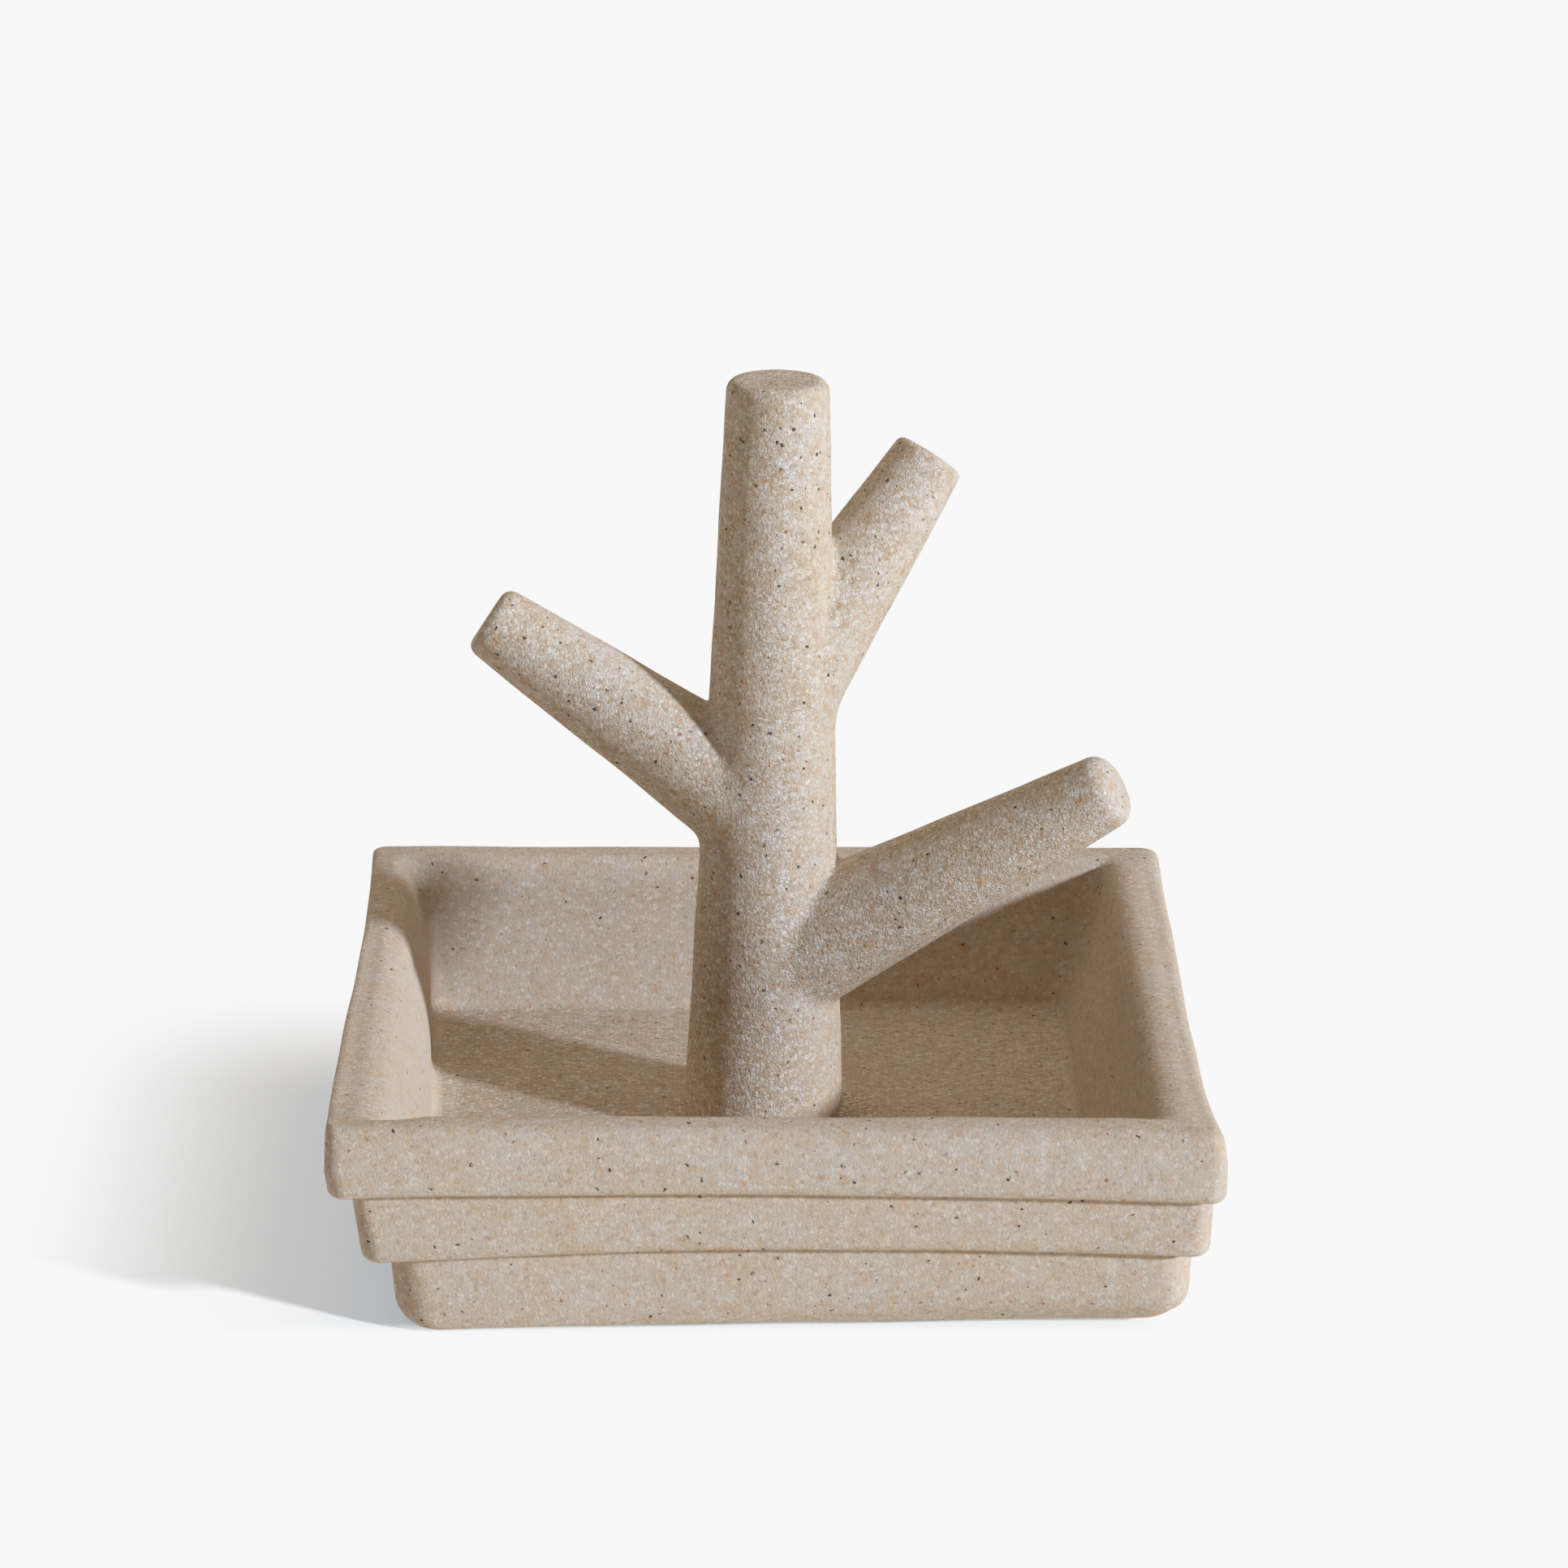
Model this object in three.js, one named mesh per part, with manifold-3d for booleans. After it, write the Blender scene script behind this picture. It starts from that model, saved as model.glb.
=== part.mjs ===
// Jewelry holder: a square stepped tray with a branching tree standing in its middle.
// Tray and tree are two castings in sand-filled resin, drawn together by a screw from below.
// Millimetres, +Z up. The origin is on the table, under the middle of the tray's top tier.
import * as THREE from 'three';
import { mergeVertices } from 'three/addons/utils/BufferGeometryUtils.js';
import Module from 'manifold-3d';

const wasm = await Module();
wasm.setup();

// Tray, outside
const traySide = 120; // across the top tier at its fullest
const trayHeight = 31.2; // underside to rim
const topTierHeight = 9.9;
const middleTierHeight = 8.7; // the bottom tier takes the rest
const middleTierInset = 3.1; // each side, inside the top tier's fullest line
const bottomTierInset = 3.3; // each side, inside the middle tier
const middleTierDrift = 1.2; // the hand-made tiers sit a little to the right of the one above
const bottomTierDrift = 1;
const rimTaper = 1.1; // the rim's outer edge lies this far inside the fullest line
const fullestDrop = 6.4; // from the rim down to the fullest line
const rimRound = 1.4;
const tierRound = 1.3; // lower edges of the top and middle tiers
const footRound = 4.4; // lower edge of the bottom tier
const tierCorner = 2.4; // upright corners of the top and middle tiers
const footCorner = 5.4; // upright corners of the bottom tier
const leastCornerShare = 0.25; // of an upright corner: what is left of it where the outline draws in

// Tray, inside
const rimWidth = 5.3;
const floorThickness = 10.2;
const wallLean = 8.2; // how far each inner wall runs in between rim and floor
const wallFootRound = 1.2;
const cavityCorner = 2.2;

// Tree
const treeHeight = 108.5; // foot to the cut top
const treeShift = -1.2; // place of the foot, to the right of the tray's middle when positive
const trunkTopShift = 1.5; // the top lies this far right of the foot
const trunkFootRadius = 11.5;
const trunkTopRadius = 7.1;
const trunkFootRound = 3.2;
const cutRound = 1.5; // rounded edge of every cut end
const branchEndRadius = 5.1;
const rootShare = 0.45; // of the trunk's radius: where a branch reaches its full thickness

// Branches: height and radius are where the branch's axis leaves the trunk's, length runs from there
const leftHeight = 46.2;
const leftLength = 47.8;
const leftRadius = 9;
const lowerRightHeight = 23.2;
const lowerRightLength = 57.9;
const lowerRightRadius = 9.6;
const upperRightHeight = 62.1;
const upperRightLength = 41;
const upperRightRadius = 8.5;

// Bearing is counted from +X towards +Y, rise from the level, both in degrees
const branches = [
  { height: leftHeight, length: leftLength, radius: leftRadius, bearing: 172.4, rise: 33.5 },
  {
    height: lowerRightHeight,
    length: lowerRightLength,
    radius: lowerRightRadius,
    bearing: -12.5,
    rise: 31.1,
  },
  {
    height: upperRightHeight,
    length: upperRightLength,
    radius: upperRightRadius,
    bearing: 25,
    rise: 53.3,
  },
];

// Fixing: machine screw, washer and threaded insert
const screwRadius = 2.5;
const screwHeadRadius = 4.6;
const screwHeadHeight = 2.8;
const screwHeadRound = 1.6;
const screwTipChamfer = 0.7;
const screwGrip = 10; // length of thread inside the insert
const socketSides = 6;
const socketRadius = 1.7; // to the socket's corners
const socketDepth = 1.5;
const headRecess = 0.6; // the head lies this far inside the tray's underside
const washerRadius = 5.4;
const washerThickness = 1;
const insertRadius = 4.2;
const insertLength = 14;
const insertBands = 5; // full bands and grooves, by turns, that key the insert into the casting
const insertGroove = 0.5;
const throughClearance = 0.3; // screw in the tray floor and in the washer
const threadClearance = 0.1; // screw in the insert
const bondClearance = 0.1; // insert in the trunk, filled by the resin
const headClearance = 0.6; // washer in the counterbore
const endClearance = 0.5; // above the insert

// Feet
const padRadius = 5.5;
const padThickness = 1;
const padEdge = 0.25; // chamfer where the pad meets the table
const padInset = 8; // from the edge of the flat underside to the pad's rim

// How finely the round forms are cut
const cornerSteps = 5;
const roundSteps = 4;
const trunkSides = 36;
const branchSides = 28;
const boreSides = 24;
const cutOverrun = 1; // how far every cutter runs past the face it opens

// Sizes that follow
const halfTop = traySide / 2;
const halfMiddle = halfTop - middleTierInset;
const halfBottom = halfMiddle - bottomTierInset;
const driftMiddle = middleTierDrift;
const driftBottom = middleTierDrift + bottomTierDrift;
const middleTop = trayHeight - topTierHeight;
const bottomTop = middleTop - middleTierHeight;
const halfRim = halfTop - rimTaper;
const halfMouth = halfRim - rimWidth;
const halfFloor = halfMouth - wallLean;
const halfUnderside = halfBottom - footRound;
const floorLevel = padThickness + floorThickness;
const ceilingHeight = headRecess + screwHeadHeight + washerThickness; // counterbore, in the tray
const screwHoleRadius = screwRadius + throughClearance;
const counterboreRadius = washerRadius + headClearance;

// Points of a quarter circle of the given radius about (x, z), from one angle to another
function arc(x, z, radius, from, to) {
  const points = [];
  for (let i = 0; i <= roundSteps; i += 1) {
    const angle = THREE.MathUtils.degToRad(from + ((to - from) * i) / roundSteps);
    points.push([x + radius * Math.cos(angle), z + radius * Math.sin(angle)]);
  }
  return points;
}

// One level outline of the tray: a square with round corners, as points at one height
function squareRing({ half, z, corner, centre }) {
  const radius = Math.min(corner, half);
  const reach = half - radius;
  const ring = [];
  for (let side = 0; side < 4; side += 1) {
    const start = (side * Math.PI) / 2;
    const middleX = centre + reach * Math.sign(Math.cos(start + Math.PI / 4));
    const middleY = reach * Math.sign(Math.sin(start + Math.PI / 4));
    for (let step = 0; step <= cornerSteps; step += 1) {
      const angle = start + (step / cornerSteps) * (Math.PI / 2);
      ring.push([middleX + radius * Math.cos(angle), middleY + radius * Math.sin(angle), z]);
    }
  }
  return ring;
}

// A closed skin over a stack of level outlines, with a flat cap on the first and the last
function loft(rings) {
  const count = rings[0].length;
  const position = rings.flat(2);
  const index = [];
  rings.slice(1).forEach((ring, i) => {
    for (let a = 0; a < count; a += 1) {
      const b = (a + 1) % count;
      const low = i * count;
      const high = low + count;
      index.push(low + a, low + b, high + b, low + a, high + b, high + a);
    }
  });
  const last = (rings.length - 1) * count;
  for (let a = 1; a < count - 1; a += 1) {
    index.push(0, a + 1, a);
    index.push(last, last + a, last + a + 1);
  }
  const geometry = new THREE.BufferGeometry();
  geometry.setAttribute('position', new THREE.Float32BufferAttribute(position, 3));
  geometry.setIndex(index);
  return geometry;
}

// A turned piece about +Z from a profile of [radius, height] pairs
function turned(profile, sides) {
  const points = profile.map(([radius, height]) => new THREE.Vector2(radius, height));
  return new THREE.LatheGeometry(points, sides).rotateX(Math.PI / 2);
}

// A plain round cutter from one height to another
function cutter(radius, from, to, sides = boreSides) {
  const height = to - from;
  const geometry = new THREE.CylinderGeometry(radius, radius, height, sides);
  return geometry.rotateX(Math.PI / 2).translate(0, 0, from + height / 2);
}

// A mesh whose shared corners are merged, as a solid that can be joined and cut
function solid(geometry) {
  const bare = geometry.clone();
  bare.deleteAttribute('normal');
  bare.deleteAttribute('uv');
  const merged = mergeVertices(bare);
  const corners = merged.getIndex().array;
  const faces = [];
  for (let i = 0; i < corners.length; i += 3) {
    const [a, b, c] = [corners[i], corners[i + 1], corners[i + 2]];
    if (a !== b && b !== c && c !== a) {
      faces.push(a, b, c);
    }
  }
  return new wasm.Manifold(new wasm.Mesh({
    numProp: 3,
    vertProperties: new Float32Array(merged.getAttribute('position').array),
    triVerts: new Uint32Array(faces),
  }));
}

// A solid back as a mesh geometry with flat faces
function skinOf(body) {
  const { vertProperties, triVerts } = body.getMesh();
  const geometry = new THREE.BufferGeometry();
  geometry.setAttribute('position', new THREE.Float32BufferAttribute(vertProperties, 3));
  geometry.setIndex(Array.from(triVerts));
  return geometry;
}

function finish(color, roughness, metalness) {
  return new THREE.MeshStandardMaterial({ color, roughness, metalness });
}

// Every piece gets a material of its own, in the finish of what it is made of
const castResin = () => finish(0xc6b9a8, 0.85, 0);
const brass = () => finish(0xb8954f, 0.4, 1);
const zincSteel = () => finish(0xa9abae, 0.35, 1);
const padRubber = () => finish(0xd8d6d0, 0.6, 0);

function piece(name, geometry, material) {
  const mesh = new THREE.Mesh(geometry, material);
  mesh.name = name;
  mesh.geometry.computeVertexNormals();
  return mesh;
}

// Outline levels for a rounded stretch: the upright corner shrinks as the outline draws in
function rounded(points, full, corner, centre) {
  return points.map(([half, z]) => squareRing({
    half,
    z,
    corner: Math.max(corner - (full - half), corner * leastCornerShare),
    centre,
  }));
}

// The tray's outside, from the underside up to the rim's outer edge
function outsideRings() {
  const rings = [];
  rings.push(...rounded(
    arc(halfUnderside, footRound, footRound, -90, 0),
    halfBottom,
    footCorner,
    driftBottom,
  ));
  rings.push(squareRing({ half: halfBottom, z: bottomTop, corner: footCorner, centre: driftBottom }));
  rings.push(...rounded(
    arc(halfMiddle - tierRound, bottomTop + tierRound, tierRound, -90, 0),
    halfMiddle,
    tierCorner,
    driftMiddle,
  ));
  rings.push(squareRing({ half: halfMiddle, z: middleTop, corner: tierCorner, centre: driftMiddle }));
  rings.push(...rounded(
    arc(halfTop - tierRound, middleTop + tierRound, tierRound, -90, 0),
    halfTop,
    tierCorner,
    0,
  ));
  rings.push(squareRing({ half: halfTop, z: trayHeight - fullestDrop, corner: tierCorner, centre: 0 }));
  rings.push(...rounded(
    arc(halfRim - rimRound, trayHeight - rimRound, rimRound, 0, 90),
    halfRim,
    tierCorner,
    0,
  ));
  return rings;
}

// The tray's inside, from the rim's inner edge down the leaning wall to the floor
function insideRings() {
  const lean = Math.atan2(wallLean, trayHeight - floorThickness);
  const turn = 90 - THREE.MathUtils.radToDeg(lean); // how far each rounding turns
  const rimCentre = halfMouth + rimRound * Math.tan(THREE.MathUtils.degToRad(turn / 2));
  const footCentre = halfFloor - wallFootRound * Math.tan(THREE.MathUtils.degToRad(turn / 2));
  const rimArc = arc(rimCentre, trayHeight - rimRound, rimRound, 90, 90 + turn);
  const footArc = arc(footCentre, floorThickness + wallFootRound, wallFootRound, turn - 90, -90);
  return [...rimArc, ...footArc].map(([half, z]) => squareRing({
    half,
    z,
    corner: cavityCorner,
    centre: 0,
  }));
}

// Tray: one casting, bored from below for the screw and counterbored for its head and washer
function makeTray() {
  const casting = solid(loft([...outsideRings(), ...insideRings()]));
  const hole = solid(cutter(screwHoleRadius, -cutOverrun, floorThickness + cutOverrun));
  const counterbore = solid(cutter(counterboreRadius, -cutOverrun, ceilingHeight));
  const bore = hole.add(counterbore).translate(treeShift, 0, 0);
  const tray = piece('tray', skinOf(casting.subtract(bore)), castResin());
  tray.position.z = padThickness;
  return tray;
}

// Radius of the trunk and sideways place of its axis at a height above its foot
function trunkRadiusAt(height) {
  return THREE.MathUtils.lerp(trunkFootRadius, trunkTopRadius, height / treeHeight);
}

function trunkAxisAt(height) {
  return (trunkTopShift * height) / treeHeight;
}

function trunkSolid() {
  const profile = [
    [0, 0],
    ...arc(trunkFootRadius - trunkFootRound, trunkFootRound, trunkFootRound, -90, 0),
    ...arc(trunkTopRadius - cutRound, treeHeight - cutRound, cutRound, 0, 90),
    [0, treeHeight],
  ];
  const lean = new THREE.Matrix4().makeShear(0, 0, 0, 0, trunkTopShift / treeHeight, 0);
  return solid(turned(profile, trunkSides).applyMatrix4(lean));
}

// A branch is a tapered bar that starts as a point on the trunk's axis, inside the trunk
function branchSolid({ height, length, radius, bearing, rise }) {
  const rootLength = rootShare * trunkRadiusAt(height);
  const thickness = THREE.MathUtils.lerp(radius, branchEndRadius, rootLength / length);
  const profile = [
    [0, 0],
    [thickness, rootLength],
    ...arc(branchEndRadius - cutRound, length - cutRound, cutRound, 0, 90),
    [0, length],
  ];
  const across = THREE.MathUtils.degToRad(bearing);
  const up = THREE.MathUtils.degToRad(rise);
  const direction = new THREE.Vector3(
    Math.cos(up) * Math.cos(across),
    Math.cos(up) * Math.sin(across),
    Math.sin(up),
  );
  const turn = new THREE.Quaternion().setFromUnitVectors(new THREE.Vector3(0, 0, 1), direction);
  const bar = turned(profile, branchSides).applyQuaternion(turn);
  return solid(bar.translate(trunkAxisAt(height), 0, height));
}

// Tree: trunk and three branches cast as one, with a socket in the foot for the insert
function makeTree() {
  const grown = branches.reduce((tree, branch) => tree.add(branchSolid(branch)), trunkSolid());
  const socket = solid(cutter(insertRadius + bondClearance, -cutOverrun, insertLength + endClearance));
  const tree = piece('tree', skinOf(grown.subtract(socket)), castResin());
  tree.position.set(treeShift, 0, floorLevel);
  return tree;
}

// Threaded insert: a brass bush, grooved outside so that the casting grips it
function makeInsert() {
  const bore = screwRadius + threadClearance;
  const neck = insertRadius - insertGroove;
  const band = insertLength / insertBands;
  const profile = [[bore, 0]];
  for (let i = 0; i < insertBands; i += 1) {
    const radius = i % 2 ? neck : insertRadius;
    profile.push([radius, i * band], [radius, (i + 1) * band]);
  }
  profile.push([bore, insertLength], [bore, 0]);
  const insert = piece('threaded_insert', turned(profile, boreSides), brass());
  insert.position.set(treeShift, 0, floorLevel);
  return insert;
}

// Washer between the screw's head and the ceiling of the counterbore
function makeWasher() {
  const profile = [
    [screwHoleRadius, 0],
    [washerRadius, 0],
    [washerRadius, washerThickness],
    [screwHoleRadius, washerThickness],
    [screwHoleRadius, 0],
  ];
  const washer = piece('washer', turned(profile, boreSides), zincSteel());
  washer.position.set(treeShift, 0, padThickness + ceilingHeight - washerThickness);
  return washer;
}

// Screw: button head with a hexagonal socket, its shank through the floor into the insert
function makeScrew() {
  const shank = washerThickness + floorThickness - ceilingHeight + screwGrip;
  const tip = screwHeadHeight + shank;
  const edge = screwHeadRound * Math.cos(Math.PI / 4);
  const profile = [
    [0, 0],
    [screwHeadRadius - screwHeadRound, 0],
    [screwHeadRadius - screwHeadRound + edge, screwHeadRound - edge],
    [screwHeadRadius, screwHeadRound],
    [screwHeadRadius, screwHeadHeight],
    [screwRadius, screwHeadHeight],
    [screwRadius, tip - screwTipChamfer],
    [screwRadius - screwTipChamfer, tip],
    [0, tip],
  ];
  const socket = solid(cutter(socketRadius, -cutOverrun, socketDepth, socketSides));
  const body = solid(turned(profile, boreSides)).subtract(socket);
  const screw = piece('fixing_screw', skinOf(body), zincSteel());
  screw.position.set(treeShift, 0, padThickness + headRecess);
  return screw;
}

// Feet: four soft discs stuck to the flat underside near its corners
function makePads() {
  const reach = halfUnderside - padInset - padRadius;
  const profile = [
    [0, 0],
    [padRadius - padEdge, 0],
    [padRadius, padEdge],
    [padRadius, padThickness],
    [0, padThickness],
  ];
  const places = [
    ['foot_pad_front_left', -1, -1],
    ['foot_pad_front_right', 1, -1],
    ['foot_pad_back_left', -1, 1],
    ['foot_pad_back_right', 1, 1],
  ];
  return places.map(([name, acrossSign, depthSign]) => {
    const pad = piece(name, turned(profile, boreSides), padRubber());
    pad.position.set(driftBottom + acrossSign * reach, depthSign * reach, 0);
    return pad;
  });
}

const holder = new THREE.Group();
holder.add(makeTray(), makeTree(), makeInsert(), makeWasher(), makeScrew(), ...makePads());

export default holder;
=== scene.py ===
import math

import bpy
import numpy as np
from mathutils import Matrix, Vector, noise


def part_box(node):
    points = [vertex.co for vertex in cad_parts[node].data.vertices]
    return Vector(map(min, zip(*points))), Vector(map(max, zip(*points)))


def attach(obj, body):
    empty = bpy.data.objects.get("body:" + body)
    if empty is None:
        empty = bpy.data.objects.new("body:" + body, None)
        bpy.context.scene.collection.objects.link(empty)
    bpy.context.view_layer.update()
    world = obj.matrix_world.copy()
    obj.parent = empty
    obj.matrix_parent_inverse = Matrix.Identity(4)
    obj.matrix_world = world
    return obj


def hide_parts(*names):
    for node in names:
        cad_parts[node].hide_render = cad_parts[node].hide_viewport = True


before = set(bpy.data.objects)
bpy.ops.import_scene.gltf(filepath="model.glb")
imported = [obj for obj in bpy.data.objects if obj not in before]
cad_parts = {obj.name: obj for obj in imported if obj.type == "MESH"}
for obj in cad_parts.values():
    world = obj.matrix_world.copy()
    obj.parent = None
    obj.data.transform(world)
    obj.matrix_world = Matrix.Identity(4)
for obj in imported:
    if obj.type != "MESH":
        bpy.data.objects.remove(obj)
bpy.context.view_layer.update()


# Tray: one casting of clear resin filled with fine sand, so it looks and feels like pale sandstone.
# It was poured into a soft mould taken from a hand-made original: the three tiers sit a little askew,
# their edges wave, and no wall is quite straight. A hole through the floor takes the tree's screw.

MM = 0.001
tray_low, tray_high = [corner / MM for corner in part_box("tray")]
underside = tray_low.z
rim = tray_high.z
tray_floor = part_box("tree")[0].z / MM
top_tier_height = 9.9
middle_tier_height = 8.7
bottom_tier_top = rim - top_tier_height - middle_tier_height
middle_tier_top = rim - top_tier_height
fullest_height = rim - 6.2  # the top tier is widest here
rim_round = 2.2
tier_round = 1.5  # lower edges of the top and middle tiers
foot_round = 5.0  # lower edge of the bottom tier
crease = 0.5  # hollow where one tier meets the next
floor_crease = 1.8
screw_x = -1.2  # the tree and its screw stand a little left of the middle
bore_radius = 2.8
bore_edge = 0.3
counterbore_radius = 6.0
counterbore_depth = 4.4

half_side = 60  # of the top tier
# the lower edges of the middle and the top tier: how far each rises at its highest place, how fast
# it droops to both sides, and where along the front its highest place is
edge_waves = [(0.15, 0.00052, 10), (0.55, 0.00027, -8)]
# the foot's edge: its lift in the middle, for each mm to the right, and at most to the left and right
foot_middle, foot_rise, foot_lowest, foot_highest = 0.5, 0.03, -0.95, 1.2
flare_from = -38  # the right side flares from here on, towards the front
flare_length = 22
wall_bow = 1.08  # of the inner walls, 1 would be straight
left_wall_flare = 2.2

side_steps = 76  # points along each side of an outline
corner_steps = 10
unevenness = 0.16  # of the cast faces, in long shallow swells
swell = 17.0  # length of such a swell
seat_reach = 20  # the floor has none up to here, where the tree stands
seat_blend = 15  # and they come in over this length
sole_reach = 47  # and the underside none up to here
lowest = 0.1  # no point of the tray comes nearer to the table


def outline(back_left, back_right, front_right, front_left, corner):
    """Points round a level outline: four straight sides and four round corners of one or four sizes."""
    corners = [np.array(c, float) for c in (back_left, back_right, front_right, front_left)]
    radii = corner if isinstance(corner, tuple) else (corner,) * 4
    points = []
    for i, here in enumerate(corners):
        before, after = corners[i - 1], corners[(i + 1) % 4]
        to_before = (before - here) / np.linalg.norm(before - here)
        to_after = (after - here) / np.linalg.norm(after - here)
        radius = radii[i]
        centre = here + radius * (to_before + to_after)
        for step in range(corner_steps + 1):
            turn = step / corner_steps * math.pi / 2
            points.append(centre - radius * (to_after * math.cos(turn) + to_before * math.sin(turn)))
        next_before = (here - after) / np.linalg.norm(here - after)
        start, end = points[-1], after + radii[(i + 1) % 4] * next_before
        for step in range(1, side_steps):
            points.append(start + (end - start) * step / side_steps)
    return np.array(points)


def circle(radius):
    """As many points as an outline has, evenly round the screw."""
    count = 4 * (side_steps + corner_steps)
    half_corner = corner_steps / 2
    turns = 0.75 * math.pi - (np.arange(count) - half_corner) / count * 2 * math.pi
    return np.stack([screw_x + radius * np.cos(turns), radius * np.sin(turns)], 1)


def level(points, z):
    return np.column_stack([points, np.full(len(points), z)])


def square(left, right, front, back, corner, z):
    return level(outline((left, back), (right, back), (right, front), (left, front), corner), z)


def straight(start, end, steps):
    """Rings from one level to the next, evenly spaced, without the first."""
    return [start + (end - start) * s / steps for s in range(1, steps + 1)]


def rounded(start, end, steps, out_first):
    """Rings round a quarter turn: out_first leaves the first level sideways, otherwise upwards."""
    rings = []
    for s in range(1, steps + 1):
        turn = s / steps * math.pi / 2
        across, along = math.sin(turn), 1 - math.cos(turn)
        plan, height = (across, along) if out_first else (along, across)
        ring = start + (end - start) * plan
        ring[:, 2] = start[:, 2] + (end[:, 2] - start[:, 2]) * height
        rings.append(ring)
    return rings


def grown(points, by):
    """An outline pushed outwards from the middle of the tray, by the same distance on every side."""
    reach = np.abs(points).max(0)
    return points * (reach + by) / reach


def wave(ring, settled=1):
    """Tier edges rise in the middle of the front and droop to its ends, the foot rises to the right."""
    x, z = ring[:, 0], ring[:, 2]
    foot = np.clip(foot_rise * x + foot_middle, foot_lowest, foot_highest) * settled
    lower, upper = [highest - droop * (x - place) ** 2 for highest, droop, place in edge_waves]
    heights = [underside, bottom_tier_top, middle_tier_top, rim]
    lifts = [foot, lower, upper, np.zeros_like(x)]
    lift = np.zeros_like(x)
    for i in range(3):
        share = np.clip((z - heights[i]) / (heights[i + 1] - heights[i]), 0, 1)
        inside = (z >= heights[i]) & (z <= heights[i + 1])
        lift = np.where(inside, lifts[i] + (lifts[i + 1] - lifts[i]) * share, lift)
    return ring + np.column_stack([np.zeros((len(x), 2)), lift])


def skewed(ring, top=True):
    """Seen from above both sides are a little hollow, and the right one flares at its front corner.

    The top tier is drawn in as a whole, the tiers below it only where they would stand out.
    """
    x, y, z = ring.T
    flare = np.clip((flare_from - y) / flare_length, 0, 1) ** 2 * (1.35 + 0.12 * (rim - z))
    # how far each side stands out: the left one least behind the middle, the right one before it
    ahead = 15 - y
    left = 59.08 + 0.0085 * (ahead + np.sqrt(ahead ** 2 + 64)) + 0.00035 * np.minimum(ahead, 0) ** 2
    left = np.minimum(left, half_side)
    right = np.minimum(58.35 + 0.00011 * (y + 30) ** 2 + flare, half_side)
    if top:
        near = np.clip((np.abs(x) - 50) / 5, 0, 1)
        over = near * np.where(x > 0, half_side - right, left - half_side)
    else:
        over = np.maximum(x - right, 0) - np.maximum(-x - left, 0)
    return ring - np.column_stack([over, np.zeros((len(ring), 2))])


def bent(start, middle, end, steps):
    """Rings on a smooth bend that leaves the first ring towards the middle one and arrives from it."""
    shares = [s / steps for s in range(1, steps + 1)]
    return [start * (1 - t) ** 2 + middle * 2 * t * (1 - t) + end * t * t for t in shares]


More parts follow.
